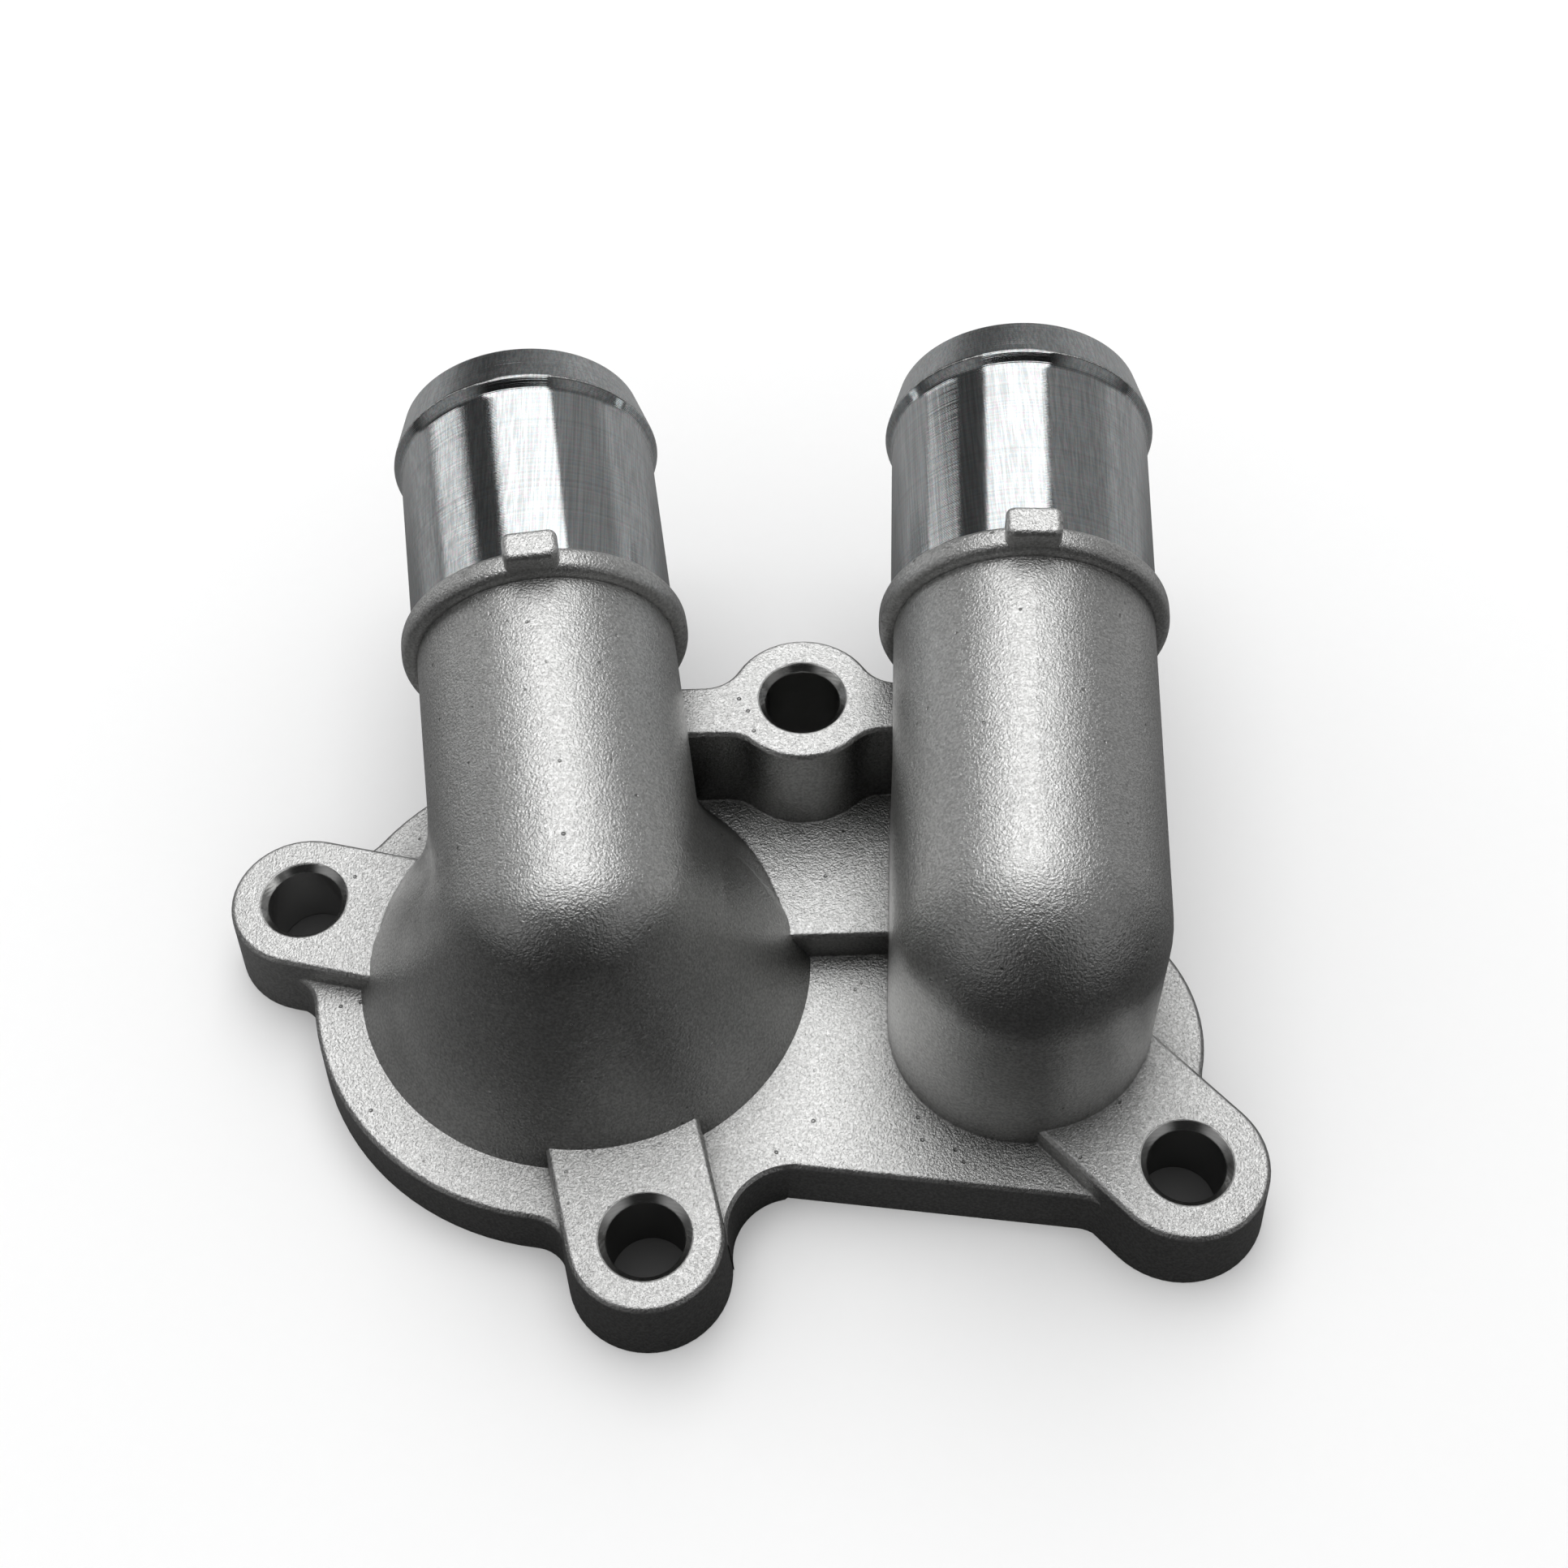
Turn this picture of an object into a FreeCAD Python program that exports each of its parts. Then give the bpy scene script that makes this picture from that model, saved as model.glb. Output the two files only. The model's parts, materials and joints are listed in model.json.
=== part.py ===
import FreeCAD, Part
import math
import os
from FreeCAD import Placement, Rotation, Vector

# Thermostat housing: one die casting in aluminium, in millimetres.
# The frame: origin on the valve chamber's axis at the gasket face, X to the right elbow,
# Y to the back where the hose necks point, Z up away from the engine.

# Driving dimensions, flange
plate_height = 7.2
lug_height = 10.0
step_height = 11.7
bridge_height = 24.6
wall_draft = 3.2
inside_corner = 4.5
rim_centre = (-0.3, -0.7)
rim_margin = 5.4
edge_rim_centre = (50.5, -10.7)
edge_rim_margin = 4.3
front_edge_turn = -8.4
front_edge_margin = 0.1
top_chamfer = 0.4

# Driving dimensions, bolt lugs: place of each bolt hole
left_bolt = (-32.5, 8.3)
front_bolt = (7.3, -34.8)
right_bolt = (65.3, -28.2)
bridge_bolt = (25.8, 24.4)
lug_radius = 8.4
right_lug_radius = 8.9
bolt_hole_radius = 4.25
bolt_chamfer = 0.8

# Driving dimensions, valve chamber: a cone under the ball at the end of the left neck
dome_foot_radius = 25.2
dome_slope = 27.0
dome_wall = 3.0
dome_fillet = 5.0
dome_cone_rise = 7.0
seat_margin = 0.8
seat_depth = 2.5

# Driving dimensions, hose necks: turn is seen from above, tilt is above the level
hose_radius = 15.0
neck_step = 0.3
neck_wall = 2.4
neck_tilt = 3.0
left_neck_turn = -6.4
left_neck_height = 26.6
left_neck_length = 29.1
right_neck_turn = 3.2
right_neck_height = 29.4
right_neck_length = 36.7
elbow_centre = (48.9, -9.3)
saddle_length = 20.0
port_length = 6.0

# Driving dimensions, bridge that carries the fourth bolt between the necks
bridge_start = (-2.6, 23.0)
bridge_end = (51.4, 23.0)
bridge_half_width = 3.4
bridge_boss_radius = 8.4
bridge_draft = 1.0
step_line = 0.3

# Driving dimensions, hose spigot on each neck, measured along the neck
collar_rise = 1.35
collar_width = 3.2
collar_chamfer = 1.2
tab_width = 6.1
tab_rise = 2.05
tab_length = 3.8
tab_setback = 0.2
tab_corner = 1.0
tab_rounding = 0.7
spigot_length = 23.6
bead_height = 0.8
bead_flank = 1.4
lead_in_length = 5.5
lead_in_drop = 0.7
mouth_chamfer = 0.6

# Overlap of solids that are joined, and run-out of cuts past a face
overlap = 1.0

# Edges nearer to a level than this lie on it
near = 0.01

# Radii that follow from the hose and the dome
neck_radius = hose_radius - neck_step
collar_radius = hose_radius + collar_rise
tab_radius = collar_radius + tab_rise
bead_radius = hose_radius + bead_height
lead_in_radius = hose_radius - lead_in_drop
seat_radius = dome_foot_radius + seat_margin
rim_radius = dome_foot_radius + rim_margin
edge_rim_radius = neck_radius + edge_rim_margin


def level(point, height=0.0):
    """A plan point as a vector at a height."""
    return Vector(point[0], point[1], height)


def circle_face(centre, radius):
    """A round flat face on the gasket plane."""
    return Part.Face(Part.Wire(Part.makeCircle(radius, level(centre))))


def polygon_face(points):
    """A flat face with straight sides through the given points, counterclockwise."""
    corners = [level(point) for point in points]
    return Part.Face(Part.makePolygon(corners + corners[:1]))


def strip_face(start, end, half_width):
    """A round-ended strip from one point to another."""
    a = level(start)
    b = level(end)
    along = (b - a).normalize()
    side = Vector(along.y, -along.x, 0) * half_width
    edges = [
        Part.makeLine(a + side, b + side),
        Part.Arc(b + side, b + along * half_width, b - side).toShape(),
        Part.makeLine(b - side, a - side),
        Part.Arc(a - side, a - along * half_width, a + side).toShape(),
    ]
    return Part.Face(Part.Wire(edges))


def joined_outline(faces, corner):
    """One outline round all the faces, its inside corners rounded."""
    face = faces[0].multiFuse(faces[1:]).removeSplitter().Faces[0]
    grown = Part.Face(face.OuterWire).makeOffset2D(corner)
    return Part.Face(grown.Wires[0]).makeOffset2D(-corner).Wires[0]


def drafted_block(outline, height, draft):
    """A solid from the gasket face up, its walls leaning in with the casting draft."""
    spread = height * math.tan(math.radians(draft))
    foot = Part.Face(outline).makeOffset2D(spread).Wires[0]
    top = outline.copy()
    top.translate(Vector(0, 0, height))
    return Part.makeLoft([foot, top], True, True)


def eased_top(block, height, reach=math.inf):
    """The block with a small chamfer along its top edges, those that end before a Y reach."""
    rim = [e for e in block.Edges if e.BoundBox.ZMin > height - near and e.BoundBox.YMax < reach]
    return block.makeChamfer(top_chamfer, rim)


def turned(profile):
    """A solid turned round the Z axis from the corners of a profile: radius and place along Z."""
    corners = [Vector(radius, 0, along) for radius, along in profile]
    face = Part.Face(Part.makePolygon(corners + corners[:1]))
    return face.revolve(Vector(0, 0, 0), Vector(0, 0, 1), 360)


def dome(foot_radius, ball_radius):
    """A cone through the foot circle at plate height, its top inside the ball of the left neck."""
    shrink = math.tan(math.radians(dome_slope))
    height = left_neck_height + dome_cone_rise
    ground_radius = foot_radius + plate_height * shrink
    return Part.makeCone(ground_radius, ground_radius - height * shrink, height)


def front_edge():
    """The two ends of the straight front edge, which just clears the right rim."""
    angle = math.radians(front_edge_turn)
    heading = Vector(math.cos(angle), math.sin(angle), 0)
    outward = Vector(heading.y, -heading.x, 0)
    start = level(edge_rim_centre) + outward * (edge_rim_radius + front_edge_margin)
    ends = []
    for place in (rim_centre, right_bolt):
        end = start + heading * heading.dot(level(place) - start)
        ends.append((end.x, end.y))
    return ends


def crease_edges(body):
    """The edges where the dome's cone meets the ball, the bar and the saddle of its neck."""
    cone = [f for f in body.Faces if isinstance(f.Surface, Part.Cone)][0]
    return [e for e in cone.OuterWire.Edges if e.BoundBox.ZMax > overlap]


class Neck:
    """A hose neck: where it starts, which way it points and how long it is to its collar."""

    def __init__(self, start, height, turn, length):
        angle = math.radians(turn)
        tilt = math.radians(neck_tilt)
        ahead = Vector(math.sin(angle), math.cos(angle), 0)
        across = Vector(math.cos(angle), -math.sin(angle), 0)
        along = ahead * math.cos(tilt) + Vector(0, 0, math.sin(tilt))
        self.start = start
        self.height = height
        self.length = length
        self.ahead = ahead
        self.place = Placement(
            level(start, height), Rotation(across.cross(along), across, along, "ZXY")
        )

    def below(self, distance):
        """The plan point under a place along the neck."""
        return (self.start[0] + self.ahead.x * distance, self.start[1] + self.ahead.y * distance)

    def laid(self, shape):
        """A shape made along Z, with X as its top, laid along the neck."""
        shape.Placement = self.place
        return shape

    def bar(self, radius, distance):
        """A round bar along the neck with a ball at its start."""
        return self.laid(Part.makeCylinder(radius, distance).fuse(Part.makeSphere(radius)))

    def saddle(self, radius, distance):
        """A round column under the neck's start and upright walls under its first stretch."""
        across = Vector(self.ahead.y, -self.ahead.x, 0) * radius
        front = level(self.start)
        back = level(self.below(distance))
        walls = polygon_face([front - across, front + across, back + across, back - across])
        plan = walls.fuse(circle_face(back, radius)).removeSplitter().Faces[0]
        reach = self.height + distance + radius
        under = self.laid(Part.makeBox(reach, 2 * reach, 2 * reach, Vector(-reach, -reach, -reach)))
        column = Part.makeCylinder(radius, self.height, front)
        return plan.extrude(Vector(0, 0, reach)).common(under).fuse(column)


def spigot(neck):
    """The collar with its tab and the turned hose spigot with its bead, in the neck's line."""
    collar_end = neck.length + collar_width
    bead_start = collar_end + spigot_length
    crest = bead_start + bead_flank
    inner = neck_radius - overlap
    barrel = turned([
        (0, neck.length - overlap),
        (inner, neck.length - overlap),
        (inner, neck.length),
        (collar_radius - collar_chamfer, neck.length),
        (collar_radius, neck.length + collar_chamfer),
        (collar_radius, collar_end - collar_chamfer),
        (collar_radius - collar_chamfer, collar_end),
        (hose_radius, collar_end),
        (hose_radius, bead_start),
        (bead_radius, crest),
        (lead_in_radius, crest + lead_in_length),
        (0, crest + lead_in_length),
    ])
    tab = Part.makeBox(
        tab_radius - inner, tab_width, tab_length,
        Vector(inner, -tab_width / 2, neck.length + tab_setback)
    )
    corners = [e for e in tab.Edges if e.BoundBox.XLength > overlap]
    tab = tab.makeFillet(tab_corner, corners)
    tops = [e for e in tab.Edges if e.BoundBox.XMin > tab_radius - near]
    tab = tab.makeFillet(tab_rounding, tops)
    return neck.laid(barrel.fuse(tab))


def flow_way(neck):
    """The round bore of a neck, opened by a chamfer at its mouth."""
    mouth = neck.length + collar_width + spigot_length + bead_flank + lead_in_length
    bore_radius = neck_radius - neck_wall
    flare = Part.makeCone(
        bore_radius, bore_radius + mouth_chamfer + overlap, mouth_chamfer + overlap,
        Vector(0, 0, mouth - mouth_chamfer)
    )
    return [neck.bar(bore_radius, mouth + overlap), neck.laid(flare)]


def bolt_hole(place, height):
    """The cut for a bolt through a lug, with its chamfer at the top."""
    shank = Part.makeCylinder(
        bolt_hole_radius, height + 2 * overlap, level(place, -overlap)
    )
    flare = Part.makeCone(
        bolt_hole_radius, bolt_hole_radius + bolt_chamfer + overlap, bolt_chamfer + overlap,
        level(place, height - bolt_chamfer)
    )
    return shank.fuse(flare)


left_neck = Neck((0.0, 0.0), left_neck_height, left_neck_turn, left_neck_length)
right_neck = Neck(elbow_centre, right_neck_height, right_neck_turn, right_neck_length)
necks = [left_neck, right_neck]

# Flange: two round rims, the web between them and the feet of the lugs and the bridge
lug_faces = [
    strip_face(left_neck.start, left_bolt, lug_radius),
    strip_face(left_neck.start, front_bolt, lug_radius),
    strip_face(elbow_centre, right_bolt, right_lug_radius),
]
bridge_faces = [
    strip_face(bridge_start, bridge_end, bridge_half_width),
    circle_face(bridge_bolt, bridge_boss_radius),
]
web = polygon_face([rim_centre] + front_edge() + [edge_rim_centre, bridge_end, bridge_start])
rims = [circle_face(rim_centre, rim_radius), circle_face(edge_rim_centre, edge_rim_radius)]
outline = joined_outline(rims + [web] + lug_faces + bridge_faces, inside_corner)
casting = eased_top(drafted_block(outline, plate_height, wall_draft), plate_height)

# Raised parts of the flange: lugs, floor behind the step line and the bridge
blocks = [
    eased_top(drafted_block(face.OuterWire, lug_height, wall_draft), lug_height)
    for face in lug_faces
]
floor = polygon_face([
    (bridge_start[0], step_line), (elbow_centre[0], step_line), bridge_end, bridge_start
])
floor_block = floor.extrude(Vector(0, 0, step_height))
blocks.append(eased_top(floor_block, step_height, step_line + overlap))
bridge = joined_outline(bridge_faces, inside_corner)
blocks.append(eased_top(drafted_block(bridge, bridge_height, bridge_draft), bridge_height))

# Water ways: the valve chamber's dome, the elbow and the two necks with their spigots
for neck in necks:
    body = neck.bar(neck_radius, neck.length).fuse(neck.saddle(neck_radius, saddle_length))
    if neck is left_neck:
        body = body.fuse(dome(dome_foot_radius, neck_radius)).removeSplitter()
        body = body.makeFillet(dome_fillet, crease_edges(body))
    blocks.append(body)
    blocks.append(spigot(neck))
casting = casting.multiFuse(blocks)

# Hollows: chamber and valve seat, elbow port, bores and bolt holes
hollows = [
    dome(dome_foot_radius - dome_wall, neck_radius - neck_wall),
    Part.makeCylinder(seat_radius, seat_depth + overlap, Vector(0, 0, -overlap)),
    right_neck.saddle(neck_radius - neck_wall, port_length),
]
for neck in necks:
    hollows += flow_way(neck)
for place in (left_bolt, front_bolt, right_bolt):
    hollows.append(bolt_hole(place, lug_height))
hollows.append(bolt_hole(bridge_bolt, bridge_height))
casting = casting.cut(hollows).removeSplitter()

os.makedirs("parts", exist_ok=True)
casting.exportStep("parts/cast_housing.step")
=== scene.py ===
"""Looks of a cast aluminium thermostat housing with two turned hose spigots.

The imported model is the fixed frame. Lengths in the classes below are in millimetres and are
turned into metres where a mesh or a node is made.
"""

import json
import logging
import math
from dataclasses import dataclass, field
from enum import Enum
from typing import Any, Mapping, Sequence

import bpy
import numpy as np
from mathutils import Euler, Matrix, Vector

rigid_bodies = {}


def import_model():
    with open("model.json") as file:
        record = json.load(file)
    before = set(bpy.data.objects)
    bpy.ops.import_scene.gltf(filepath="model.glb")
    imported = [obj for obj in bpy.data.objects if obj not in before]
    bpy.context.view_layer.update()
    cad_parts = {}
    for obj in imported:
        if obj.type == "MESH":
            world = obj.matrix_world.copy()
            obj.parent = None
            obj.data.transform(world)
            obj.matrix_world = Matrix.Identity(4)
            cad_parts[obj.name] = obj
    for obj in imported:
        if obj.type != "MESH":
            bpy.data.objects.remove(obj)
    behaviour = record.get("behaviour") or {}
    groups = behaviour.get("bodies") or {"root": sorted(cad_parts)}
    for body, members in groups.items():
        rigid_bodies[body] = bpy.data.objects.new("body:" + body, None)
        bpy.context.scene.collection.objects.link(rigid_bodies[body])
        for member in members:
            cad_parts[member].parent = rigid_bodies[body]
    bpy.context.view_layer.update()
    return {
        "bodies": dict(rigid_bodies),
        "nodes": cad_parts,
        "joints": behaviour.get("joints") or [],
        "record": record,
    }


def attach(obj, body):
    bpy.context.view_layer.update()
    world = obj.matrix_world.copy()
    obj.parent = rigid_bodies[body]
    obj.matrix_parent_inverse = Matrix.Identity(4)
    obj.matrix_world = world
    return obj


LOG = logging.getLogger("thermostat_housing")
MM = 0.001
CAD_NODE = "cast_housing"
BODY = "root"

Pair = tuple[float, float]
Triple = tuple[float, float, float]

LUG_HOLES: tuple[Pair, ...] = ((-32.5, 8.3), (7.3, -34.8), (65.3, -28.2))
BRIDGE_HOLE: Pair = (25.8, 24.4)


class Blend(Enum):
    """How two colours are laid over each other."""

    PLAIN = "MIX"
    DARKEN = "MULTIPLY"


class Value:
    """A number that changes over a surface. It wraps a socket, and its operators add Math nodes."""

    def __init__(self, graph: "Graph", socket: bpy.types.NodeSocket) -> None:
        """Keeps the graph and the socket."""
        self.graph = graph
        self.socket = socket

    def _math(self, operation: str, first: Any, second: Any = None) -> "Value":
        """Adds a Math node on one or two numbers or values."""
        sockets = {0: first} if second is None else {0: first, 1: second}
        return self.graph.node("ShaderNodeMath", {"operation": operation}, sockets)

    def __add__(self, other: Any) -> "Value":
        """This plus the other."""
        return self._math("ADD", self, other)

    __radd__ = __add__

    def __sub__(self, other: Any) -> "Value":
        """This minus the other."""
        return self._math("SUBTRACT", self, other)

    def __rsub__(self, other: Any) -> "Value":
        """The other minus this."""
        return self._math("SUBTRACT", other, self)

    def __mul__(self, other: Any) -> "Value":
        """This times the other."""
        return self._math("MULTIPLY", self, other)

    __rmul__ = __mul__

    def upper(self, other: Any) -> "Value":
        """The larger of the two."""
        return self._math("MAXIMUM", self, other)

    def sine(self) -> "Value":
        """The sine of this, in radians."""
        return self._math("SINE", self)

    def size(self) -> "Value":
        """This without its sign."""
        return self._math("ABSOLUTE", self)

    def rise(self, low: float, high: float) -> "Value":
        """A soft step of this value.

        Args:
            low: where the step is still 0.
            high: where it has become 1. It may be below low, for a step that falls.

        Returns:
            A value from 0 to 1.
        """
        return self.graph.node(
            "ShaderNodeMapRange",
            {"interpolation_type": "SMOOTHSTEP"},
            {"Value": self, "From Min": low, "From Max": high},
        )


class Graph:
    """The nodes of one material or world, started empty."""

    def __init__(self, tree: bpy.types.NodeTree) -> None:
        """Clears the tree and keeps it."""
        tree.nodes.clear()
        self.tree = tree

    def node(
        self,
        kind: str,
        settings: Mapping[str, Any] | None = None,
        sockets: Mapping[Any, Any] | None = None,
        out: str | int = 0,
    ) -> Value:
        """Adds a node.

        Args:
            kind: the node's type.
            settings: its properties, set first. A ramp's stops are a list of places and colours.
            sockets: numbers, tuples or values for its inputs, by name or place.
            out: the output to use, by name or place.

        Returns:
            That output.
        """
        made = self.tree.nodes.new(kind)
        for name, value in (settings or {}).items():
            if name == "stops":
                self._set_stops(made.color_ramp, value)
            else:
                setattr(made, name, value)
        for name, value in (sockets or {}).items():
            target = self._pick(made.inputs, name)
            if isinstance(value, Value):
                self.tree.links.new(value.socket, target)
            else:
                target.default_value = value
        return Value(self, self._pick(made.outputs, out))

    @staticmethod
    def _pick(group: Any, name: str | int) -> bpy.types.NodeSocket:
        """The socket at a place, or the first one in use with a name."""
        shown = [socket for socket in group if socket.enabled]
        return shown[name] if isinstance(name, int) else next(s for s in shown if s.name == name)

    @staticmethod
    def _set_stops(ramp: bpy.types.ColorRamp, stops: Sequence[tuple[float, Triple]]) -> None:
        """Gives a ramp its stops.

        Args:
            ramp: the ramp of a node that was just made, with two stops.
            stops: place from 0 to 1 and colour of each stop, in order.
        """
        while len(ramp.elements) < len(stops):
            ramp.elements.new(1.0)
        for element, (place, colour) in zip(ramp.elements, stops):
            element.position = place
            element.color = (*colour, 1.0)

    def place_mm(self) -> Value:
        """The place on the object in millimetres, as a vector."""
        where = self.node("ShaderNodeTexCoord", out="Object")
        return self.vector("SCALE", where, Scale=1 / MM)

    def vector(self, operation: str, first: Any, second: Any = None, **named: Any) -> Value:
        """Adds a Vector Math node.

        Args:
            operation: the node's operation.
            first: the first vector.
            second: the second vector, if the operation takes one.
            named: other sockets by name.

        Returns:
            The node's result, a vector.
        """
        sockets: dict[Any, Any] = {0: first}
        if second is not None:
            sockets[1] = second
        sockets.update(named)
        return self.node("ShaderNodeVectorMath", {"operation": operation}, sockets)

    def number(self, operation: str, first: Any, second: Any) -> Value:
        """The DOT_PRODUCT or DISTANCE of two vectors."""
        sockets = {0: first, 1: second}
        return self.node("ShaderNodeVectorMath", {"operation": operation}, sockets, out="Value")

    def part(self, vector: Value, axis: str) -> Value:
        """The X, Y or Z of a vector."""
        return self.node("ShaderNodeSeparateXYZ", sockets={"Vector": vector}, out=axis)

    def from_axis(self, where: Value, axis: Pair) -> Value:
        """How far a place is from an upright axis, in millimetres."""
        flat = self.vector("MULTIPLY", where, (1.0, 1.0, 0.0))
        return self.number("DISTANCE", flat, (*axis, 0.0))

    def noise(self, where: Value, grain: float, detail: float = 2.0, rough: float = 0.5) -> Value:
        """Soft noise about 0.5.

        Args:
            where: the place in millimetres.
            grain: the size of its spots in millimetres.
            detail: how many finer layers it has.
            rough: how strong the finer layers are.

        Returns:
            A value from 0 to 1.
        """
        sockets = {"Vector": where, "Scale": 1 / grain, "Detail": detail, "Roughness": rough}
        return self.node("ShaderNodeTexNoise", sockets=sockets)

    def spots(self, where: Value, spacing: float, size: Pair) -> Value:
        """Scattered round spots.

        Args:
            where: the place in millimetres.
            spacing: the mean distance between spots in millimetres.
            size: how far from its middle a spot is full and gone, as shares of the spacing.

        Returns:
            1 in the spots and 0 between them.
        """
        sockets = {"Vector": where, "Scale": 1 / spacing}
        distance = self.node("ShaderNodeTexVoronoi", sockets=sockets, out="Distance")
        return distance.rise(size[1], size[0])

    def mix(self, share: Any, first: Any, second: Any, blend: Blend = Blend.PLAIN) -> Value:
        """Two colours mixed, with the given share of the second laid over the first."""
        settings = {"data_type": "RGBA", "blend_type": blend.value, "clamp_factor": True}
        return self.node("ShaderNodeMix", settings, {"Factor": share, "A": first, "B": second})

    def grey(self, level: Value) -> Value:
        """A number as a grey colour."""
        sockets = {"Red": level, "Green": level, "Blue": level}
        return self.node("ShaderNodeCombineColor", sockets=sockets)

    def bump(self, height: Value, normal: Value | None = None) -> Value:
        """A surface direction bent by a height in millimetres.

        Args:
            height: the height in millimetres.
            normal: the surface direction to bend, if it isn't the mesh's own.

        Returns:
            The bent direction.
        """
        sockets: dict[Any, Any] = {"Height": height, "Distance": MM, "Strength": 1.0}
        if normal is not None:
            sockets["Normal"] = normal
        return self.node("ShaderNodeBump", sockets=sockets)

    def metal(self, colour: Any, rough: Any, normal: Value) -> None:
        """Ends the graph in a bare metal surface of that colour, roughness and direction."""
        sockets = {"Base Color": colour, "Metallic": 1.0, "Roughness": rough, "Normal": normal}
        self.end(self.node("ShaderNodeBsdfPrincipled", sockets=sockets), "ShaderNodeOutputMaterial")

    def end(self, shader: Value, kind: str) -> None:
        """Links a shader to the output node of the given type."""
        output = self.tree.nodes.new(kind)
        self.tree.links.new(shader.socket, output.inputs["Surface"])


def new_material(name: str) -> tuple[bpy.types.Material, Graph]:
    """A material with an empty graph."""
    material = bpy.data.materials.new(name)
    material.use_nodes = True
    return material, Graph(material.node_tree)


@dataclass(frozen=True)
class Marks:
    """Small marks that are scattered in patches. Sizes are in millimetres."""

    spacing: float
    size: Pair
    patch: float
    patch_edge: Pair
    stretch: Triple = (1.0, 1.0, 1.0)

    def add(self, graph: Graph, where: Value) -> Value:
        """Adds their nodes: round spots in a stretched space, kept where slow noise is high.

        Args:
            graph: the graph to add to.
            where: the place in millimetres.

        Returns:
            1 in a mark, 0 elsewhere.
        """
        stretched = graph.vector("MULTIPLY", where, self.stretch)
        marks = graph.spots(stretched, self.spacing, self.size)
        return marks * graph.noise(where, self.patch, 1.0).rise(*self.patch_edge)


@dataclass(frozen=True)
class BlastedCasting:
    """Die-cast aluminium, shot-blasted, with drilled holes, machined seats, worn edges with a
    painted highlight, and painted shade in its corners, bores and pits.

    Grains, heights, depths and reaches are in millimetres. A tone is a share of the base colour.
    """

    name: str = "blasted_casting"
    colour: Triple = (0.80, 0.80, 0.79)
    tone: float = 0.76
    rough: float = 0.29
    grain: float = 0.27
    grain_height: float = 0.12
    swell_grain: float = 2.6
    swell_height: float = 0.05
    cloud_grain: float = 14.0
    cloud_tone: float = 0.12
    cloud_rough: float = 0.06
    speck_grain: float = 0.33
    speck_tone: float = 0.3
    pits: Marks = Marks(2.1, (0.06, 0.13), 3.3, (0.5, 0.62))
    pit_depth: float = 0.09
    # How much pits are darkened: painted shade in their hollows.
    pit_shade_tone: float = 0.4
    nicks: Marks = Marks(2.9, (0.03, 0.08), 8.0, (0.48, 0.56), (1.0, 0.45, 1.0))
    nick_depth: float = 0.02
    nick_tone: float = 0.25
    nick_rough: float = 0.1
    glints: Marks = Marks(0.85, (0.06, 0.2), 2.3, (0.4, 0.6))
    glint_tone: float = 0.3
    has_edges: bool = True
    edge_radius: float = 0.35
    edge_grain: float = 0.9
    # How much the ragged edges are lightened: wear with a painted highlight.
    worn_edge_highlight_tone: float = 0.8
    # Painted shade: how far the ambient occlusion reaches, and how dark it leaves corners and
    # bores.
    corner_shade_reach: float = 9.0
    corner_shade_tone: float = 0.3
    holes: tuple[Pair, ...] = ()
    hole_radius: float = 4.25
    chamfer_width: float = 0.8
    seat_radius: float = 26.0
    seat_level: float = 2.5
    cut_tone: float = 0.92
    cut_rough: float = 0.1
    line_height: float = 0.004
    line_tone: float = 0.06
    sweep_middle: Pair = (20.0, -160.0)
    sweep_rate: float = 9.0
    ring_rate: float = 14.0

    def material(self) -> bpy.types.Material:
        """Makes the material.

        Returns:
            A material whose pattern is worked out from the place on the object.
        """
        material, graph = new_material(self.name)
        where = graph.place_mm()
        cut = self._cut_zone(graph, where)
        lines = self._cut_lines(graph, where)
        eased, edge = self._edges(graph, where) if self.has_edges else (None, 0.0)
        cloud = graph.noise(where, self.cloud_grain, 3.0, 0.55) - 0.5
        pits = self.pits.add(graph, where)
        nicks = self.nicks.add(graph, where)

        grain = graph.noise(where, self.grain, 2.5, 0.6)
        swell = graph.noise(where, self.swell_grain)
        cast_height = grain * self.grain_height + swell * self.swell_height
        cast_height = cast_height - pits * self.pit_depth - nicks * self.nick_depth
        height = cast_height * (1 - cut) + lines * cut * self.line_height

        speck = graph.noise(where, self.speck_grain, 1.0).rise(0.3, 0.7)
        tone = self.tone + speck * self.speck_tone + cloud * self.cloud_tone
        tone = tone + self.glints.add(graph, where) * self.glint_tone
        # Pits are darkened as painted shade in their hollows. Nicks are lightened as bright worn
        # metal.
        tone = tone - pits * self.pit_shade_tone + nicks * self.nick_tone
        # Ragged edges are lightened as worn flash with a painted highlight. Corners and bores are
        # then darkened by ambient occlusion, which is painted shade.
        tone = (tone + edge * self.worn_edge_highlight_tone) * self._painted_corner_shade(graph)
        tone = tone * (1 - cut) + cut * (self.cut_tone + lines * self.line_tone)
        colour = graph.mix(1.0, (*self.colour, 1.0), graph.grey(tone), Blend.DARKEN)

        rough = self.rough + cloud * self.cloud_rough - nicks * self.nick_rough
        graph.metal(colour, rough - cut * self.cut_rough, graph.bump(height, eased))
        return material

    def _painted_corner_shade(self, graph: Graph) -> Value:
        """Painted shade: darkens the colour by ambient occlusion in corners and inside bores, not
        on open faces.

        Args:
            graph: the graph to add to.

        Returns:
            1 on open faces, down to the painted shade's tone deep in corners.
        """
        settings = {"samples": 4, "only_local": self.has_edges}
        reach = {"Distance": self.corner_shade_reach * MM}
        clear = graph.node("ShaderNodeAmbientOcclusion", settings, reach, out="AO")
        return self.corner_shade_tone + clear.rise(0.25, 0.95) * (1 - self.corner_shade_tone)

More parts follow.
